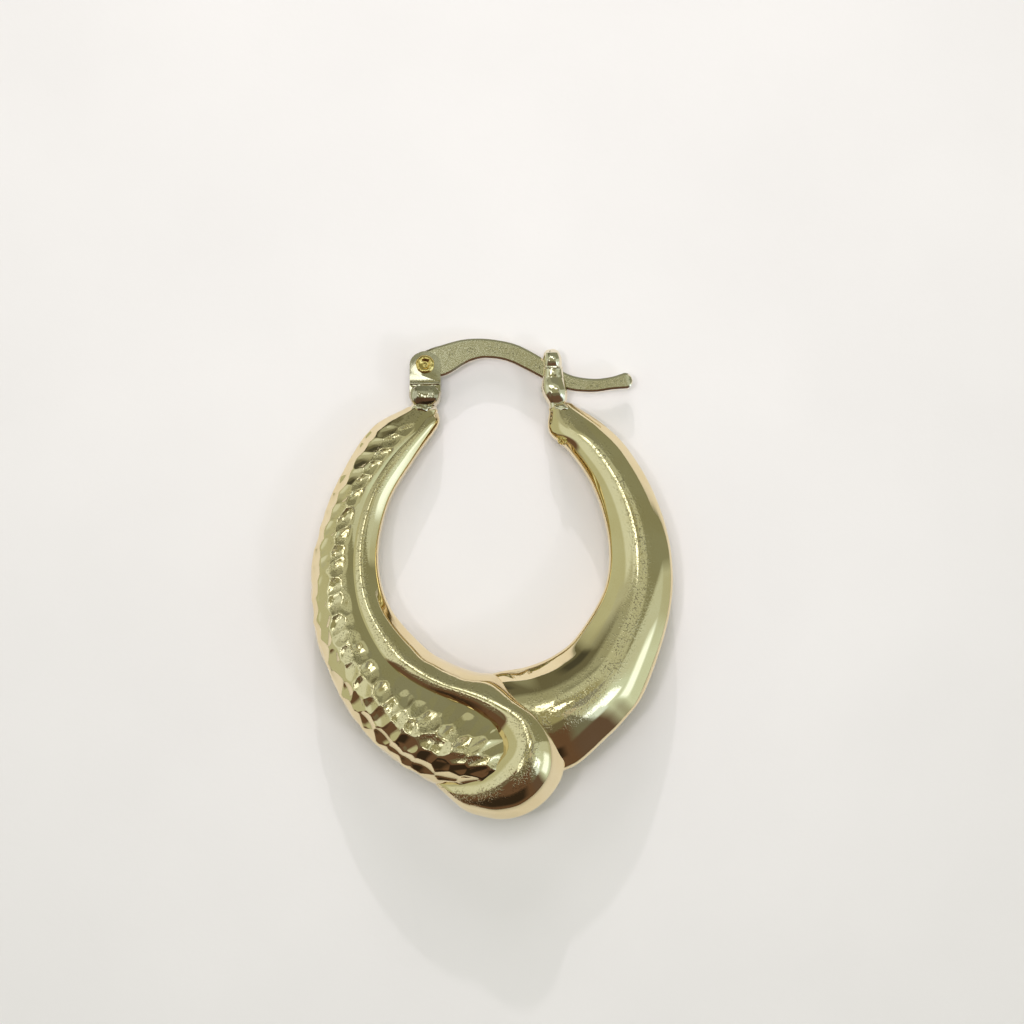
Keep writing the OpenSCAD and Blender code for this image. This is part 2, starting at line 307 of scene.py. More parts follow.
def hammered(across, up, turn, w, d, half_w, run, marks):
    """Drives a branch's surface in along its normals, where the hammer marks are."""
    size = (half_w + d) / 2
    cut = hammer_cut(run + 0 * turn, turn * size, np.maximum(size, LEAST_HALF), marks)
    reach = np.radians(marks.reach + marks.tip_reach * ease(run / run[-1], *TIP_SHARES))
    outer, inner = REACH_FADE
    cut = cut * ease(np.abs(turn), reach + outer, reach + inner)
    cut = cut * ease(run, marks.start, marks.start + START_FADE) * np.clip(w / FULL_HALF, 0, 1)
    # The normal of an ellipse, which has no size where the branch ends in a point
    least = 0.01
    slope = np.stack([np.cos(turn) / np.maximum(w, least), np.sin(turn) / np.maximum(d, least)])
    lean = slope / np.linalg.norm(slope, axis=0)
    return across - cut * lean[0], up - cut * lean[1]


def section_points(sections, sides, steep_inner, marks=None):
    """Points of every ring, as an array of rings by sides by 3."""
    mid, out, half_w, half_d, inner, steep, run = sections
    turn = np.linspace(-math.pi, math.pi, sides + 1)[None, :]
    towards = np.sign(np.cos(turn))
    w = half_w[:, None] * np.where(towards < 0, inner[:, None], 1)
    d = half_d[:, None]
    # An ellipse, but where it gets too steep it goes on straight to an upright rim
    grade = np.tan(np.radians(np.where(towards < 0, steep_inner, steep[:, None])))
    corner = np.arctan2(d, np.maximum(w, 1e-6) * grade)
    height = d * np.abs(np.sin(turn))
    straight = w * np.cos(corner) + (d * np.sin(corner) - height) / grade
    flank = np.where(height < d * np.sin(corner), straight, w * np.abs(np.cos(turn)))
    soft = RIM_SOFT * np.minimum(w, 1) * np.abs(np.cos(turn))
    across = towards * (flank + w - np.sqrt((flank - w) ** 2 + soft**2)) / 2
    up = d * np.sin(turn)
    if marks:
        across, up = hammered(across, up, turn, w, d, half_w[:, None], run[:, None], marks)
    x = mid[:, None, 0] + out[:, None, 0] * across
    y = mid[:, None, 1] + out[:, None, 1] * across
    return np.stack([x, y, up], axis=2)


def skin(points):
    """A closed tube: a grid laid on the rings, with its long edges and its ends welded.

    Its wear is 1 along the front and back crests, where the gold rubs on things.
    """
    along, round_it = points.shape[0] - 1, points.shape[1] - 1
    bm = bmesh.new()
    wear = bm.verts.layers.float.new("wear")
    bmesh.ops.create_grid(bm, x_segments=round_it, y_segments=along, size=1)
    for vert in bm.verts:
        i = round((vert.co.y + 1) / 2 * along)
        j = round((vert.co.x + 1) / 2 * round_it)
        vert[wear] = abs(math.sin(2 * math.pi * j / round_it)) ** CREST
        vert.co = points[i, j]
    bmesh.ops.remove_doubles(bm, verts=bm.verts, dist=WELD)
    return bm


def scaled_rows(rows):
    return tuple(tuple(value * K for value in row[:LENGTHS]) + row[LENGTHS:] for row in rows)


def lathe(profile, steps=64):
    """A turned shape round z from pairs of radius and height.

    The pairs begin and end on the axis, or end where they begin.
    """
    bm = bmesh.new()
    verts = [bm.verts.new((r, 0, z)) for r, z in profile]
    edges = [bm.edges.new(pair) for pair in zip(verts, verts[1:])]
    bmesh.ops.spin(
        bm,
        geom=verts + edges,
        cent=(0, 0, 0),
        axis=(0, 0, 1),
        angle=2 * math.pi,
        steps=steps,
        use_merge=True,
    )
    bmesh.ops.remove_doubles(bm, verts=bm.verts, dist=WELD)
    bmesh.ops.recalc_face_normals(bm, faces=bm.faces)
    return bm


def slab(centre, half_x, half_y, z_low, z_high, soft, top_round=0.0):
    """A block with soft edges; top_round makes its far end a half circle of that radius."""
    bm = bmesh.new()
    if top_round:
        bmesh.ops.create_circle(bm, cap_ends=True, radius=top_round, segments=64)
        # The near half of the circle becomes the block's straight sides
        for vert in bm.verts:
            if vert.co.y < 0:
                vert.co.x = math.copysign(half_x, vert.co.x)
                vert.co.y = vert.co.y / top_round * 2 * half_y
            else:
                vert.co.y *= TOP_FLAT
        bmesh.ops.remove_doubles(bm, verts=bm.verts, dist=WELD)
    else:
        bmesh.ops.create_grid(bm, x_segments=1, y_segments=1, size=1)
        bmesh.ops.scale(bm, vec=(half_x, half_y, 1), verts=bm.verts)
    bmesh.ops.translate(bm, vec=(centre[0], centre[1], z_low), verts=bm.verts)
    lifted = bmesh.ops.extrude_face_region(bm, geom=bm.faces)
    top = [item for item in lifted["geom"] if isinstance(item, bmesh.types.BMVert)]
    bmesh.ops.translate(bm, vec=(0, 0, z_high - z_low), verts=top)
    bmesh.ops.recalc_face_normals(bm, faces=bm.faces)
    sharp = [e for e in bm.edges if len(e.link_faces) == 2 and e.calc_face_angle() > SHARP]
    bmesh.ops.bevel(
        bm, geom=sharp, offset=soft, offset_type="OFFSET", segments=4,
        profile=0.5, affect="EDGES", material=-1, clamp_overlap=True,
    )
    return bm


def squared(bm, power):
    """Swells a turned shape's diagonals, so that its sections are nearer to squares."""
    for vert in bm.verts:
        radius = math.hypot(vert.co.x, vert.co.y)
        if radius > WELD:
            c, s = abs(vert.co.x) / radius, abs(vert.co.y) / radius
            swell = (c**power + s**power) ** (-1 / power)
            vert.co.x *= swell
            vert.co.y *= swell
    return bm


def upright(bm):
    """Turns what was made round z so that it stands along y."""
    turn = Matrix.Rotation(-math.pi / 2, 3, "X")
    bmesh.ops.rotate(bm, cent=(0, 0, 0), matrix=turn, verts=bm.verts)
    return bm


def roughen(bm, height, size):
    """Pushes the surface in and out by up to height, in lumps of about that size."""
    bm.normal_update()
    for vert in bm.verts:
        vert.co += vert.normal * height * noise.noise(vert.co / size)
    return bm


def blob(centre, radii, height, size):
    """A drop of metal that has run and set."""
    bm = bmesh.new()
    bmesh.ops.create_icosphere(bm, subdivisions=6, radius=1)
    bmesh.ops.scale(bm, vec=radii, verts=bm.verts)
    bmesh.ops.translate(bm, vec=centre, verts=bm.verts)
    return roughen(bm, height, size)


def rod(ends, radius, soft):
    """A straight round bar along x with rounded ends."""
    low, high = ends[0].x, ends[1].x
    a = np.linspace(0, math.pi / 2, 7)
    tip = [(radius - soft + soft * math.sin(t), soft * (1 - math.cos(t))) for t in a]
    near = [(0, low)] + [(r, low + x) for r, x in tip]
    far = [(r, high - x) for r, x in reversed(tip)] + [(0, high)]
    bm = lathe(near + far, steps=32)
    turn = Matrix.Rotation(math.pi / 2, 3, "Y")
    bmesh.ops.rotate(bm, cent=(0, 0, 0), matrix=turn, verts=bm.verts)
    bmesh.ops.translate(bm, vec=(0, ends[0].y, ends[0].z), verts=bm.verts)
    return bm


def loose_object(bm, name="part"):
    mesh = bpy.data.meshes.new(name)
    bm.to_mesh(mesh)
    bm.free()
    obj = bpy.data.objects.new(name, mesh)
    bpy.context.scene.collection.objects.link(obj)
    return obj


def fused(parts, cuts=()):
    """One closed shape from overlapping ones, less the cuts."""
    base, *others = [loose_object(bm) for bm in parts]
    tools = [(obj, "UNION") for obj in others]
    tools += [(loose_object(bm), "DIFFERENCE") for bm in cuts]
    for tool, operation in tools:
        step = base.modifiers.new("fuse", "BOOLEAN")
        step.object = tool
        step.operation = operation
        step.solver = "EXACT"
    seen = base.evaluated_get(bpy.context.evaluated_depsgraph_get())
    bm = bmesh.new()
    bm.from_mesh(seen.to_mesh())
    for obj in [base] + [tool for tool, _ in tools]:
        mesh = obj.data
        bpy.data.objects.remove(obj)
        bpy.data.meshes.remove(mesh)
    return bm


def finish_piece(bm, name, body, node, material, crease=None):
    """Puts a flat piece in millimetres into its place at rest and hands it to the frame.

    Edges that turn by more than crease, in degrees, stay sharp.
    """
    bmesh.ops.recalc_face_normals(bm, faces=bm.faces)
    for face in bm.faces:
        face.smooth = not crease or face.calc_area() < FLAT_AREA
    bmesh.ops.transform(bm, matrix=REST, verts=bm.verts)
    mesh = bpy.data.meshes.new(name)
    bm.to_mesh(mesh)
    bm.free()
    if crease:
        mesh.set_sharp_from_angle(angle=math.radians(crease))
    mesh.materials.append(material)
    obj = bpy.data.objects.new(name, mesh)
    bpy.context.scene.collection.objects.link(obj)
    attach(obj, body)
    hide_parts(node)
    return obj


class NodeWriter:
    """Short words for building a material's or the world's node tree."""

    # Where a node that mixes colours has its factor, its two colours and its result
    MIX_SOCKETS = (0, 6, 7)
    MIX_RESULT = 2

    def __init__(self, tree):
        self.tree = tree
        tree.nodes.clear()

    def add(self, kind, **settings):
        node = self.tree.nodes.new(kind)
        for key, value in settings.items():
            setattr(node, key, value)
        return node

    def join(self, source, target):
        self.tree.links.new(source, target)

    def feed(self, sockets, values):
        """Joins each socket to its value, or sets it where the value is a plain one."""
        for socket, value in zip(sockets, values):
            if isinstance(value, bpy.types.NodeSocket):
                self.join(value, socket)
            else:
                socket.default_value = value

    def noise(self, where, scale, detail, rough=0.5):
        node = self.add("ShaderNodeTexNoise")
        node.inputs["Scale"].default_value = scale
        node.inputs["Detail"].default_value = detail
        node.inputs["Roughness"].default_value = rough
        self.join(where, node.inputs["Vector"])
        return node.outputs["Fac"]

    def remap(self, value, low, high, out_low=0, out_high=1):
        node = self.add("ShaderNodeMapRange", clamp=True)
        names = ("From Min", "From Max", "To Min", "To Max")
        self.feed([node.inputs[name] for name in names], (low, high, out_low, out_high))
        self.join(value, node.inputs["Value"])
        return node.outputs["Result"]

    def mix(self, factor, first, second):
        node = self.add("ShaderNodeMix", data_type="RGBA")
        self.feed([node.inputs[n] for n in self.MIX_SOCKETS], (factor, first, second))
        return node.outputs[self.MIX_RESULT]

    def math(self, operation, *values):
        node = self.add("ShaderNodeMath", operation=operation)
        self.feed(node.inputs, values)
        return node.outputs["Value"]

    def times(self, first, second):
        return self.math("MULTIPLY", first, second)

    def plus(self, first, second):
        return self.math("ADD", first, second)

    def bump(self, height, micrometres, normal=None):
        node = self.add("ShaderNodeBump")
        node.inputs["Strength"].default_value = 1.0
        node.inputs["Distance"].default_value = micrometres * 1e-6
        self.join(height, node.inputs["Height"])
        if normal:
            self.join(normal, node.inputs["Normal"])
        return node.outputs["Normal"]


# Noises in the gold: scale per metre, detail and roughness
CLOUD = (420, 3, 0.5)
PATCH = (900, 3, 0.5)
SPECK = (13000, 2, 0.6)
SCUFF = (8000, 2, 0.5)
# Detail and roughness of the ripples, whose scale each finish gives
RIPPLE = (1, 0.4)
# The parts of those noises' range that count
TONE_SPAN = (0.38, 0.62)
PATCH_SPAN = (0.35, 0.55)
SCUFF_SPAN = (0.54, 0.64)
SPECK_SPAN = (0.35, 0.7)
# How much the clouds and the specks count in the tone
CLOUD_SHARE, SPECK_SHARE = 0.6, 0.4
# Painted shade in the pits along the worn crests: its colour as a share of the deep one, and how
# much it covers
PIT_SHADE_TONE = 0.4
PIT_SHADE_COVER = 0.7


def gold(name, light, deep, polish, pitch, ripple, grain, rubbed):
    """Gold whose colour and polish drift, with faint ripples and pitted, worn crests whose pits
    are darkened as painted shade.

    pitch is the ripples' size in millimetres; ripple and grain are heights in
    micrometres; rubbed is the depth of the pits where the wear attribute is 1.
    """
    material = bpy.data.materials.new(name)
    material.use_nodes = True
    w = NodeWriter(material.node_tree)
    where = w.add("ShaderNodeTexCoord").outputs["Object"]
    wear = w.add("ShaderNodeAttribute", attribute_name="wear").outputs["Fac"]
    cloud = w.noise(where, *CLOUD)
    patch = w.remap(w.noise(where, *PATCH), *PATCH_SPAN)
    speck = w.noise(where, *SPECK)
    scuff = w.noise(where, *SCUFF)
    tone = w.plus(w.times(cloud, CLOUD_SHARE), w.times(speck, SPECK_SHARE))
    colour = w.mix(w.remap(tone, *TONE_SPAN), (*deep, 1), (*light, 1))
    worn = w.times(wear, patch)
    pits = w.times(w.remap(scuff, *SCUFF_SPAN), worn)
    # Painted shade: the pits on the worn crests are darkened towards a share of the deep colour
    pit_shade = tuple(PIT_SHADE_TONE * value for value in deep)
    colour = w.mix(w.times(pits, PIT_SHADE_COVER), colour, (*pit_shade, 1))
    rough = w.remap(speck, *SPECK_SPAN, *polish)
    # A noise's scale is per metre
    normal = w.bump(w.noise(where, 1000 / pitch, *RIPPLE), ripple)
    normal = w.bump(speck, grain, normal)
    normal = w.bump(pits, rubbed, normal)
    shader = w.add("ShaderNodeBsdfPrincipled")
    shader.inputs["Metallic"].default_value = 1.0
    w.join(colour, shader.inputs["Base Color"])
    w.join(rough, shader.inputs["Roughness"])
    w.join(normal, shader.inputs["Normal"])
    w.join(shader.outputs["BSDF"], w.add("ShaderNodeOutputMaterial").inputs["Surface"])
    return material


class HammerMarks(bpy.types.PropertyGroup):
    """Size of one blow of the hammer, in millimetres."""

    length: bpy.props.FloatProperty(
        name="Length", description="Length of a mark along the branch, in millimetres",
        default=1.2, min=0.6, max=2.0,
    )
    row_width: bpy.props.FloatProperty(
        name="Width", description="Width of a row of marks, in millimetres",
        default=1.0, min=0.5, max=1.6,
    )
    depth: bpy.props.FloatProperty(
        name="Depth", description="Depth of a mark, in millimetres",
        default=0.125, min=0.0, max=0.2,
    )
    bowl: bpy.props.FloatProperty(
        name="Hollowness", description="How fast a mark rises from its middle, per millimetre",
        default=0.24, min=0.0, max=0.5,
    )
    lean: bpy.props.FloatProperty(
        name="Lean", description="Largest slope by which a mark leans over",
        default=0.11, min=0.0, max=0.3,
    )
    reach: bpy.props.FloatProperty(
        name="Reach", description="How far round from the outer rim the marks go, in degrees",
        default=98, min=60, max=180,
    )
    tip_reach: bpy.props.FloatProperty(
        name="Reach at the tip", description="How much further they go near the tip, in degrees",
        default=26, min=0, max=90,
    )
    start: bpy.props.FloatProperty(
        name="Start", description="Smooth length at the hinge end, in millimetres",
        default=0.8, min=0.0, max=4.0,
    )


class GoldFinish(bpy.types.PropertyGroup):
    """Colours of the gold alloys."""

    hoop_light: bpy.props.FloatVectorProperty(
        name="Hoop, light", description="Lighter colour of the hoop's gold",
        subtype="COLOR", default=(0.88, 0.755, 0.50), min=0, max=1,
    )
    hoop_deep: bpy.props.FloatVectorProperty(
        name="Hoop, deep", description="Deeper colour of the hoop's gold",
        subtype="COLOR", default=(0.83, 0.69, 0.42), min=0, max=1,
    )
    clasp_light: bpy.props.FloatVectorProperty(
        name="Clasp, light", description="Lighter colour of the clasp's paler gold",
        subtype="COLOR", default=(0.90, 0.82, 0.66), min=0, max=1,
    )
    clasp_deep: bpy.props.FloatVectorProperty(
        name="Clasp, deep", description="Deeper colour of the clasp's paler gold",
        subtype="COLOR", default=(0.82, 0.73, 0.54), min=0, max=1,
    )
    # The hinge bracket's gold is a darker copy of the clasp's pale gold: painted shade over the
    # whole bracket
    aged_light: bpy.props.FloatVectorProperty(
        name="Hinge, light", description="Lighter colour of the hinge bracket's darkened gold",
        subtype="COLOR", default=(0.70, 0.63, 0.48), min=0, max=1,
    )
    aged_deep: bpy.props.FloatVectorProperty(
        name="Hinge, deep", description="Deeper colour of the hinge bracket's darkened gold",
        subtype="COLOR", default=(0.46, 0.40, 0.29), min=0, max=1,
    )
    rivet_light: bpy.props.FloatVectorProperty(
        name="Rivet, light", description="Lighter colour of the rivet's rich gold",
        subtype="COLOR", default=(0.93, 0.74, 0.32), min=0, max=1,
    )
    rivet_deep: bpy.props.FloatVectorProperty(
        name="Rivet, deep", description="Deeper colour of the rivet's rich gold",
        subtype="COLOR", default=(0.85, 0.60, 0.20), min=0, max=1,
    )


class Studio(bpy.types.PropertyGroup):
    """Camera and light."""

    camera_height: bpy.props.FloatProperty(
        name="Camera height", description="Height of the camera above the earring",
        default=0.17, min=0.1, max=1.0, unit="LENGTH",
    )
    view_width: bpy.props.FloatProperty(
        name="View width", description="Width that the camera sees at the earring",
        default=0.06966, min=0.03, max=0.3, unit="LENGTH",
    )
    floor_colour: bpy.props.FloatVectorProperty(
        name="Floor", description="Colour of the pale floor",
        subtype="COLOR", default=(0.865, 0.835, 0.83), min=0, max=1,
    )


# Finishes. Columns: colours, least and most roughness, size of the ripples in
# millimetres, height of the ripples and of the grain and depth of the pits in worn
# crests, in micrometres
FINISHES = {
    "polished gold": ("hoop", (0.01, 0.02), 1.4, 3, 0.1, 12),
    "hammered gold": ("hoop", (0.01, 0.02), 0.7, 2, 0.1, 6),
    "pale gold": ("clasp", (0.02, 0.08), 0.5, 6, 1.0, 0),
    # painted shade: the hinge bracket's darker copy of the pale gold
    "aged gold": ("aged", (0.02, 0.08), 0.5, 3, 1.0, 0),
    "rolled gold": ("clasp", (0.08, 0.16), 0.45, 5, 0.7, 0),
    "rivet gold": ("rivet", (0.05, 0.15), 0.4, 8, 3.0, 0),
    "solder": ("clasp", (0.06, 0.15), 0.3, 8, 3.0, 0),
    "vent gold": ("rivet", (0.12, 0.30), 0.2, 10, 8.0, 0),
}


def finish(name):
    """The material of that name, made when it is first asked for."""
    if name in bpy.data.materials:
        return bpy.data.materials[name]
    alloy, *surface = FINISHES[name]
    colours = bpy.context.scene.earring_gold
    light, deep = getattr(colours, alloy + "_light"), getattr(colours, alloy + "_deep")
    return gold(name, light, deep, *surface)


class EARRING_OT_hammered_branch(bpy.types.Operator):
    """Add the hammered branch of the hoop"""

    bl_idname = "earring.hammered_branch"
    bl_label = "Hammered branch"

    RINGS = 500
    SIDES = 144

    def execute(self, context):
        sections = branch_sections(scaled_rows(HAMMERED), self.RINGS, CLASP_END, TIP_END)
        points = section_points(sections, self.SIDES, HIDDEN, context.scene.earring_marks)
        metal = finish("hammered gold")
        finish_piece(skin(points), "hammered_branch", "hoop", "hoop", metal)
        return {"FINISHED"}


class EARRING_OT_hook(bpy.types.Operator):
    """Add the smooth band and the hook that it turns into"""

    bl_idname = "earring.hook"
    bl_label = "Hook"

    RINGS = 420
    SIDES = 128

    def execute(self, context):
        sections = branch_sections(scaled_rows(HOOK), self.RINGS, POINT_END, POINT_END)
        points = section_points(sections, self.SIDES, HIDDEN)
        metal = finish("polished gold")
        finish_piece(skin(points), "hook", "hoop", "hoop", metal)
        return {"FINISHED"}


class EARRING_OT_smooth_branch(bpy.types.Operator):
    """Add the smooth branch of the hoop"""

    bl_idname = "earring.smooth_branch"
    bl_label = "Smooth branch"

    RINGS = 300
    SIDES = 160

    def execute(self, context):
        sections = branch_sections(scaled_rows(SMOOTH), self.RINGS, CLASP_END, POINT_END)
        points = section_points(sections, self.SIDES, SMOOTH_INNER)
        metal = finish("polished gold")
        finish_piece(skin(points), "smooth_branch", "hoop", "hoop", metal)
        return {"FINISHED"}


class EARRING_OT_hinge_bracket(bpy.types.Operator):
    """Add the two ears and the barrel that hold the rivet"""

    bl_idname = "earring.hinge_bracket"
    bl_label = "Hinge bracket"

    # Columns: radius, height
    BARREL = (
        (0, 9.2), (0.50, 9.2), (0.66, 9.25), (0.65, 9.60), (0.67, 9.85), (0.75, 10.02),
        (0.88, 10.16), (0.98, 10.32), (1.05, 10.5), (1.08, 10.7), (1.08, 10.95),
        (1.04, 11.12), (0.97, 11.24), (0.92, 11.32), (0.93, 11.40), (0.6, 11.46), (0, 11.46),
    )
    BARREL_X = -4.70
    BARREL_SIDES = 128
    SQUARENESS = 5
    # Height and size of the casting's lumps
    LUMPS = (0.07, 0.42)
    # Ears: radius of the top, half of the straight sides' length, and softness
    EAR_R = 1.05
    EAR_HALF = 0.95
    EAR_SOFT = 0.09
    # Ridge across each ear's foot: y, z, radius and softness
    RIDGE = (11.49, 0.80, 0.15, 0.1)
    CREASE = 18

    def execute(self, context):
        profile = [(r, y * K) for r, y in self.BARREL]
        barrel = upright(squared(lathe(profile, self.BARREL_SIDES), self.SQUARENESS))
        bmesh.ops.translate(barrel, vec=(self.BARREL_X * K, 0, 0), verts=barrel.verts)
        parts = [roughen(barrel, *self.LUMPS)]
        centre = (HINGE.x, HINGE.y)
        reach = Vector((self.EAR_R, 0, 0))
        foot, out, radius, soft = self.RIDGE
        for side in (-1, 1):
            low, high = sorted((side * SLOT_HALF, side * EAR_FACE))
            ear = slab(centre, self.EAR_R, self.EAR_HALF, low, high, self.EAR_SOFT, self.EAR_R)
            middle = Vector((HINGE.x, foot * K, side * out))
            parts += [ear, rod((middle - reach, middle + reach), radius, soft)]
        # The bracket takes the darker copy of the pale gold, which is painted shade
        piece, metal = fused(parts), finish("aged gold")
        finish_piece(piece, "hinge_bracket", "hoop", "hoop", metal, self.CREASE)
        return {"FINISHED"}


class EARRING_OT_catch(bpy.types.Operator):
    """Add the forked catch"""

    bl_idname = "earring.catch"
    bl_label = "Catch"

    # Columns: half width, half depth, height
    PRONG = (
        (0.00, 0.00, 9.30), (0.45, 0.45, 9.30), (0.56, 0.56, 9.35), (0.55, 0.57, 9.90),
        (0.60, 0.62, 10.20), (0.72, 0.74, 10.45), (0.83, 0.86, 10.75), (0.88, 0.93, 11.10),
        (0.87, 0.93, 11.40), (0.82, 0.90, 11.68), (0.76, 0.86, 11.84), (0.75, 0.84, 11.92),
        (0.75, 0.85, 12.00), (0.73, 0.87, 12.12), (0.70, 0.86, 12.42), (0.69, 0.88, 12.52),
        (0.70, 0.93, 12.58), (0.70, 0.93, 12.66), (0.64, 0.89, 12.72), (0.63, 0.91, 12.78),
        (0.66, 0.97, 12.95), (0.67, 1.01, 13.15), (0.65, 1.01, 13.35), (0.58, 0.94, 13.60),
        (0.44, 0.78, 13.80), (0.25, 0.50, 13.92), (0.00, 0.00, 13.96),
    )
    # The fork leans a little. Columns: height, x
    LEAN = ((9.3, 4.34), (10.3, 4.28), (11.2, 4.08), (13.96, 3.92))
    SIDES = 128
    SQUARENESS = 3
    # Height and size of the casting's lumps
    LUMPS = (0.035, 0.36)
    # The cut that makes the slot goes past the prongs at the top and at both sides
    SLOT_FLOOR = 11.0
    SLOT_TOP = 15.0
    SLOT_REACH = 2
    SLOT_SOFT = 0.02
    CREASE = 18

    def execute(self, context):
        half_x, half_z, y = np.array(self.PRONG).T
        profile = [(r, h * K) for r, _, h in self.PRONG]
        fork = upright(squared(lathe(profile, self.SIDES), self.SQUARENESS))
        lean_y, lean_x = np.array(self.LEAN).T
        for vert in fork.verts:
            height = vert.co.y / K
            stretch = np.interp(height, y[1:-1], half_z[1:-1] / half_x[1:-1])
            vert.co.z *= stretch
            vert.co.x += np.interp(height, lean_y, lean_x) * K
        centre = (lean_x[-1] * K, (self.SLOT_FLOOR + self.SLOT_TOP) / 2 * K)
        half = (self.SLOT_TOP - self.SLOT_FLOOR) / 2 * K
        slot = slab(centre, self.SLOT_REACH, half, -SLOT_HALF, SLOT_HALF, self.SLOT_SOFT)
        piece = fused([roughen(fork, *self.LUMPS)], [slot])
        metal = finish("pale gold")
        finish_piece(piece, "catch", "hoop", "hoop", metal, self.CREASE)
        return {"FINISHED"}


class EARRING_OT_solder(bpy.types.Operator):
    """Add the solder at the two ends of the hoop and the plug of the casting vent"""

    bl_idname = "earring.solder"
    bl_label = "Solder"

    # Columns: name, finish, slot; middle, radii; height and size of the lumps
    DROPS = (
        (
            "hinge_solder", "solder", "pale_gold",
            (-4.86, 9.86, 0), (0.92, 0.52, 0.94), 0.14, 0.36,
        ),
        (
            "catch_solder", "solder", "pale_gold",
            (4.66, 9.82, 0), (0.82, 0.44, 0.90), 0.13, 0.34,
        ),
        (
            "vent_plug", "vent gold", "rivet_gold",
            (4.72, 7.66, 0.72), (0.40, 0.34, 0.30), 0.16, 0.16,
        ),
    )

    def execute(self, context):
        for name, metal, slot, centre, radii, height, size in self.DROPS:
            bm = blob(Vector(centre) * K, radii, height, size)
            finish_piece(bm, name, "hoop", "hoop", finish(metal))
        return {"FINISHED"}


class EARRING_OT_ear_arm(bpy.types.Operator):
    """Add the flat arm that goes through the ear"""

    bl_idname = "earring.ear_arm"
    bl_label = "Ear arm"

    # Sections along the strap and along its rounded tail
    COUNT = 220
    DOME = 12
    # How late the tail gets thin: the power of a cosine
    BLUNT = 0.3
    CHAMFER = (0.14, 0.09)
    # Starts a little further into the eye than the arm's table does
    ROOT = (-4.55, 12.84, 0.96)
    # Half of the section, from one side to the other. Columns: half widths and
    # chamfers across, half thicknesses and chamfers up
    SECTION = (
        (-1, 0, 0, 0), (-1, 0, 1, -1), (-1, 1, 1, 0),
        (0, 0, 1, 0), (1, -1, 1, 0), (1, 0, 1, -1),
    )
    # Rim of the eye: how far it is rounded off, and its corner as a share of that
    EYE_SOFT = 0.08
    EYE_CORNER = 0.3
    # The cut for the bore goes past both faces of the eye
    BORE_REACH = 2
    CREASE = 25

    def strap(self):
        table = (self.ROOT, *ARM)
        places, _ = even_places(table, self.COUNT, lambda rows: rows[:, 0:2])
        rows = np.array([row_at(table, t) for t in places])
        mid = rows[:, 0:2] * K
        way = np.gradient(mid, axis=0)
        way = way / np.linalg.norm(way, axis=1)[:, None]
        a = np.linspace(0, math.pi / 2, self.DOME + 1)[1:]
        tail = mid[-1] + way[-1] * ARM_TAIL_END * np.sin(a)[:, None]
        mid = np.concatenate([mid[:1], mid, tail])
        way = np.concatenate([way[:1], way, np.repeat(way[-1:], self.DOME, axis=0)])
        half = np.concatenate([[0], rows[:, 2], rows[-1, 2] * np.cos(a)])
        thick = np.concatenate([[0], np.full(self.COUNT, 1), np.cos(a) ** self.BLUNT])
        thick[-1] = 0
        ring = np.array(self.SECTION, dtype=float)
        ring = np.concatenate([ring, -ring, ring[:1]])
        width, drop = self.CHAMFER
        across = half[:, None] * ring[:, 0] + np.minimum(width, half)[:, None] * ring[:, 1]
        up = (ARM_HALF_T * ring[:, 2] + drop * ring[:, 3]) * thick[:, None]
        points = np.stack([
            mid[:, None, 0] - way[:, None, 1] * across,
            mid[:, None, 1] + way[:, None, 0] * across,
            up,
        ], axis=2)
        return skin(points)

    def eye(self):
        t, soft = ARM_HALF_T, self.EYE_SOFT
        corner = self.EYE_CORNER * soft
        bm = lathe([
            (BORE_R, -t), (EYE_R - soft, -t), (EYE_R - corner, corner - t),
            (EYE_R, soft - t), (EYE_R, t - soft), (EYE_R - corner, t - corner),
            (EYE_R - soft, t), (BORE_R, t), (BORE_R, -t),
        ])
        bmesh.ops.translate(bm, vec=HINGE, verts=bm.verts)
        return bm

    def execute(self, context):
        past = self.BORE_REACH
        bore = lathe([(0, -past), (BORE_R, -past), (BORE_R, past), (0, past)])
        bmesh.ops.translate(bore, vec=HINGE, verts=bore.verts)
        piece, metal = fused([self.strap(), self.eye()], [bore]), finish("rolled gold")
        finish_piece(piece, "ear_arm_dressed", "arm", "ear_arm", metal, self.CREASE)
        return {"FINISHED"}


class EARRING_OT_hinge_rivet(bpy.types.Operator):
    """Add the rivet of the hinge"""

    bl_idname = "earring.hinge_rivet"
    bl_label = "Hinge rivet"

    # Columns: radius, height above the ear
    HEAD = (
        (0.61, 0.00), (0.63, 0.04), (0.61, 0.09), (0.56, 0.13), (0.49, 0.155),
        (0.42, 0.16), (0.36, 0.14), (0.30, 0.09), (0.25, 0.04), (0.19, 0.02),
        (0.13, 0.03), (0.07, 0.06), (0, 0.07),
    )
    SHANK_R = 0.38
    SIDES = 96
    # Height and size of the hammered head's lumps
    LUMPS = (0.03, 0.25)
    CREASE = 50

    def execute(self, context):
        upper = [(r, EAR_FACE + z) for r, z in self.HEAD]
        lower = [(r, -EAR_FACE - z) for r, z in reversed(self.HEAD)]
        shank = [(self.SHANK_R, -EAR_FACE), (self.SHANK_R, EAR_FACE)]
        bm = lathe(lower + shank + upper, self.SIDES)
        bmesh.ops.translate(bm, vec=HINGE, verts=bm.verts)
        roughen(bm, *self.LUMPS)
        metal, slot = finish("rivet gold"), "rivet_gold"
        finish_piece(bm, "hinge_rivet_dressed", "hoop", "hinge_rivet", metal, self.CREASE)
        return {"FINISHED"}


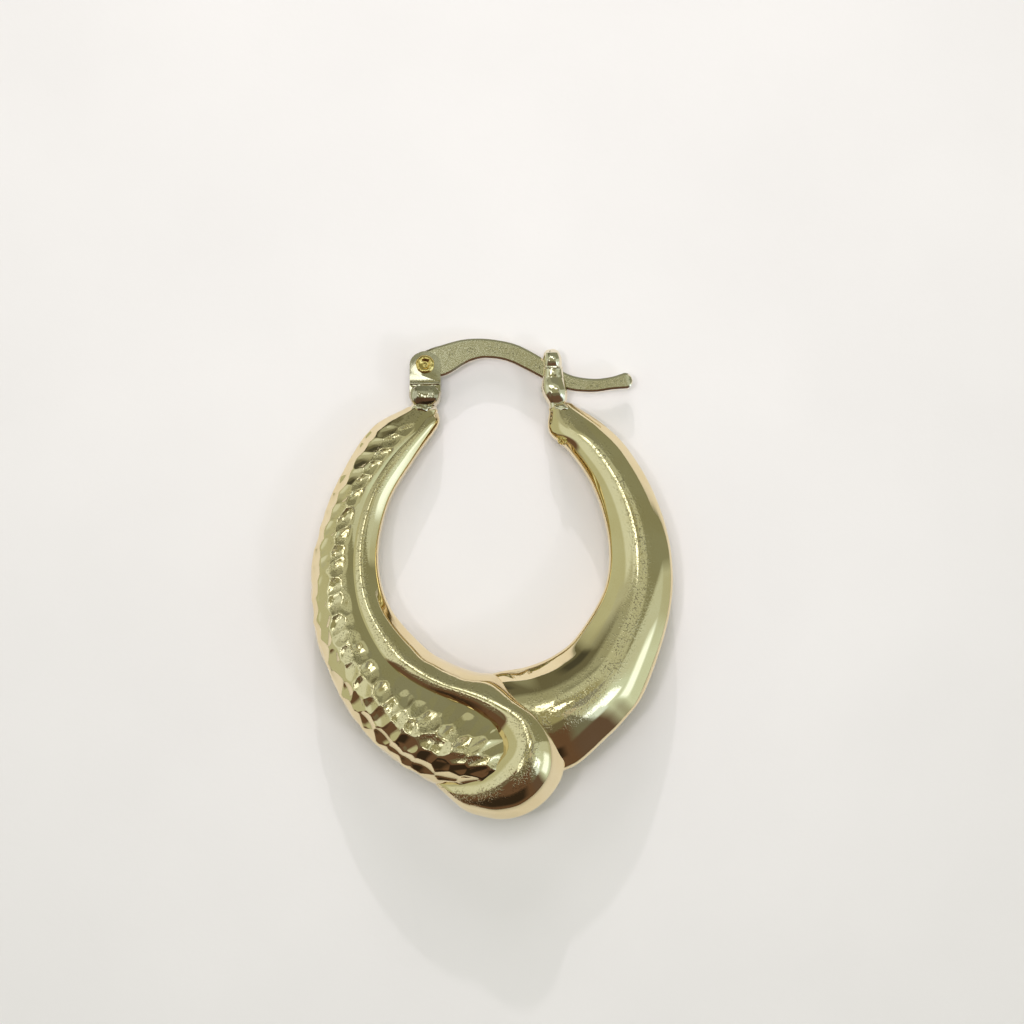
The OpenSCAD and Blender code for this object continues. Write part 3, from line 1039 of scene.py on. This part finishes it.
class EARRING_OT_stage(bpy.types.Operator):
    """Add the floor, the lights and the camera"""

    bl_idname = "earring.stage"
    bl_label = "Stage"

    # Middle of the view, in the flat drawing
    AIM = (1.22, 2.79, 0)
    # Camera: width of its sensor in millimetres, and nearest thing that it sees
    SENSOR = 36
    CLIP_START = 0.01
    # Floor: half of its side in metres; scale per metre and detail of the noises for
    # its tone and its tooth; the tooth's height in micrometres
    FLOOR_HALF = 4.0
    PAPER_TONE = (60, 4)
    PAPER_SPAN = (0.3, 0.7)
    PAPER_DEEPER = 0.96
    PAPER_TOOTH = (2500, 5)
    TOOTH_HEIGHT = 6
    PAPER_ROUGH = 0.85
    # Colour of the lamps, and of the room between the panels that the gold mirrors
    LAMP_COLOUR = (1.0, 0.96, 1.0)
    ROOM = (0.50, 0.55, 0.43)
    # Plain wall behind the floor's far edge, which only the camera sees
    WALL = (0.60, 0.59, 0.57)

    def floor(self, colour):
        bm = bmesh.new()
        bmesh.ops.create_grid(bm, x_segments=1, y_segments=1, size=self.FLOOR_HALF)
        obj = loose_object(bm, "floor")
        material = bpy.data.materials.new("pale paper")
        material.use_nodes = True
        w = NodeWriter(material.node_tree)
        where = w.add("ShaderNodeTexCoord").outputs["Object"]
        tone = w.remap(w.noise(where, *self.PAPER_TONE), *self.PAPER_SPAN)
        tooth = w.bump(w.noise(where, *self.PAPER_TOOTH), self.TOOTH_HEIGHT)
        deeper = tuple(self.PAPER_DEEPER * value for value in colour)
        shader = w.add("ShaderNodeBsdfPrincipled")
        w.join(w.mix(tone, (*deeper, 1), (*colour, 1)), shader.inputs["Base Color"])
        shader.inputs["Roughness"].default_value = self.PAPER_ROUGH
        w.join(tooth, shader.inputs["Normal"])
        w.join(shader.outputs["BSDF"], w.add("ShaderNodeOutputMaterial").inputs["Surface"])
        obj.data.materials.append(material)

    # What the gold sees round it: soft panels, each over the ones before it. Columns:
    # azimuth, half width and softness; zenith angle, half height and softness, all in
    # degrees; red, green, blue
    CARDS = (
        # pale panels on the left and the darker corner beside them
        (178, 46, 6, 78, 24, 8, 0.51, 0.55, 0.40),
        (178, 42, 6, 36, 13, 8, 0.70, 0.78, 0.69),
        (142, 7, 8, 50, 18, 5, 0.48, 0.52, 0.41),
        (117, 14, 5, 37, 10, 5, 0.36, 0.39, 0.29),
        (119, 10, 12, 70, 20, 9, 0.15, 0.15, 0.10),
        (122, 5, 6, 74, 7, 6, 0.07, 0.07, 0.05),
        # grey panels on the far side
        (82, 20, 5, 60, 31, 4, 0.25, 0.27, 0.20),
        # grey and pale panels on the right
        (38, 27, 4, 60, 30, 4, 0.26, 0.28, 0.19),
        (-2, 9, 4, 52, 28, 5, 0.58, 0.66, 0.57),
        # bright window on the right and the dark gap beside it
        (-25, 11, 9, 60, 29, 5, 0.66, 0.80, 0.72),
        (-33, 10, 4, 43, 7, 4, 1.5, 1.8, 2.1),
        (-20, 10, 4, 72, 7, 6, 1.2, 1.45, 1.6),
        (-40, 5, 2, 50, 7, 2, 0.8, 1.0, 1.1),
        (-55, 10, 3, 36, 24, 3, 0.18, 0.19, 0.15),
        (-52, 9, 10, 82, 22, 6, 0.13, 0.09, 0.07),
        # dark brown panels on the near side
        (-102, 44, 7, 57, 38, 3, 0.14, 0.085, 0.056),
        (-137, 6, 4, 40, 9, 4, 0.16, 0.14, 0.10),
        (-95, 40, 6, 20, 5, 3, 0.16, 0.15, 0.10),
        (-95, 24, 10, 68, 10, 6, 0.035, 0.025, 0.017),
        # panels overhead
        (180, 180, 1, 0, 14, 3, 0.33, 0.34, 0.21),
        (-142, 17, 3, 17, 3.5, 1.5, 1.45, 1.6, 1.5),
        (168, 14, 5, 13, 3, 2, 0.28, 0.30, 0.19),
        (-35, 12, 6, 12, 3, 2, 0.54, 0.52, 0.43),
        (-3, 18, 5, 14, 4, 2, 0.27, 0.29, 0.26),
        # bright strips overhead
        (88, 38, 4, 5, 3.2, 1.2, 2.2, 2.4, 2.3),
        (120, 10, 2, 15.5, 3.8, 1.5, 2.1, 2.3, 2.2),
        (137, 8, 2, 14, 3, 1.2, 1.4, 1.55, 1.4),
    )

    def sky(self):
        world = bpy.data.worlds.new("studio")
        world.use_nodes = True
        bpy.context.scene.world = world
        w = NodeWriter(world.node_tree)
        toward = w.add("ShaderNodeSeparateXYZ")
        w.join(w.add("ShaderNodeTexCoord").outputs["Generated"], toward.inputs[0])
        x, y, z = toward.outputs
        azimuth = w.times(w.math("ARCTAN2", y, x), math.degrees(1))
        zenith = w.times(w.math("ARCCOSINE", z), math.degrees(1))
        colour = (*self.ROOM, 1)
        for az, half_az, soft_az, ze, half_ze, soft_ze, *tint in self.CARDS:
            aside = w.math("ABSOLUTE", w.math("WRAP", w.plus(azimuth, -az), 180, -180))
            above = w.math("ABSOLUTE", w.plus(zenith, -ze))
            mask = w.times(
                w.remap(aside, half_az, half_az + soft_az, 1, 0),
                w.remap(above, half_ze, half_ze + soft_ze, 1, 0),
            )
            colour = w.mix(mask, colour, (*tint, 1))
        seen = w.add("ShaderNodeLightPath").outputs["Is Camera Ray"]
        back = w.add("ShaderNodeBackground")
        w.join(w.mix(seen, colour, (*self.WALL, 1)), back.inputs["Color"])
        w.join(back.outputs["Background"], w.add("ShaderNodeOutputWorld").inputs["Surface"])

    # Soft boxes that light the floor. Columns: name, azimuth and zenith angle in
    # degrees, distance, width, height, watts
    LAMPS = (
        ("softbox_overhead", 90, 12, 0.12, 0.05, 0.05, 0.047),
        ("softbox_left", 174, 16, 0.40, 0.03, 0.03, 0.19),
        ("softbox_far", 92, 67, 0.40, 0.007, 0.007, 0.32),
        ("softbox_low", 90, 62, 0.20, 0.08, 0.08, 0.10),
        ("softbox_window", -32, 52, 0.40, 0.03, 0.04, 0.12),
    )

    def lamps(self):
        for name, azimuth, zenith, distance, width, height, watts in self.LAMPS:
            az, ze = math.radians(azimuth), math.radians(zenith)
            place = distance * Vector(
                (math.sin(ze) * math.cos(az), math.sin(ze) * math.sin(az), math.cos(ze))
            )
            data = bpy.data.lights.new(name, "AREA")
            data.shape = "RECTANGLE"
            data.size = width
            data.size_y = height
            data.energy = watts
            data.color = self.LAMP_COLOUR
            lamp = bpy.data.objects.new(name, data)
            lamp.location = place
            lamp.rotation_euler = place.to_track_quat("Z", "Y").to_euler()
            lamp.visible_glossy = False
            bpy.context.scene.collection.objects.link(lamp)

    def camera(self, studio):
        data = bpy.data.cameras.new("camera")
        data.sensor_width = self.SENSOR
        data.lens = self.SENSOR * studio.camera_height / studio.view_width
        data.clip_start = self.CLIP_START
        obj = bpy.data.objects.new("camera", data)
        aim = REST @ (Vector(self.AIM) * K)
        obj.location = aim + Vector((0, 0, studio.camera_height))
        bpy.context.scene.collection.objects.link(obj)
        bpy.context.scene.camera = obj

    def execute(self, context):
        studio = context.scene.earring_studio
        self.floor(tuple(studio.floor_colour))
        self.sky()
        self.lamps()
        self.camera(studio)
        context.scene.view_settings.view_transform = "Standard"
        return {"FINISHED"}


PIECES = (
    EARRING_OT_hammered_branch,
    EARRING_OT_hook,
    EARRING_OT_smooth_branch,
    EARRING_OT_hinge_bracket,
    EARRING_OT_catch,
    EARRING_OT_solder,
    EARRING_OT_ear_arm,
    EARRING_OT_hinge_rivet,
    EARRING_OT_stage,
)


class VIEW3D_PT_earring(bpy.types.Panel):
    """Lists the earring's pieces and sizes"""

    bl_label = "Hoop earring"
    bl_space_type = "VIEW_3D"
    bl_region_type = "UI"
    bl_category = "Earring"

    def draw(self, context):
        for group in (
            context.scene.earring_marks,
            context.scene.earring_gold,
            context.scene.earring_studio,
        ):
            box = self.layout.box()
            for name in group.__annotations__:
                box.prop(group, name)
        for piece in PIECES:
            self.layout.operator(piece.bl_idname)


CLASSES = (HammerMarks, GoldFinish, Studio, *PIECES, VIEW3D_PT_earring)


def register():
    for cls in CLASSES:
        bpy.utils.register_class(cls)
    bpy.types.Scene.earring_marks = bpy.props.PointerProperty(type=HammerMarks)
    bpy.types.Scene.earring_gold = bpy.props.PointerProperty(type=GoldFinish)
    bpy.types.Scene.earring_studio = bpy.props.PointerProperty(type=Studio)


def unregister():
    del bpy.types.Scene.earring_studio
    del bpy.types.Scene.earring_gold
    del bpy.types.Scene.earring_marks
    for cls in reversed(CLASSES):
        bpy.utils.unregister_class(cls)


def main():
    register()
    for piece in PIECES:
        group, name = piece.bl_idname.split(".")
        getattr(getattr(bpy.ops, group), name)()


if __name__ == "__main__":
    main()
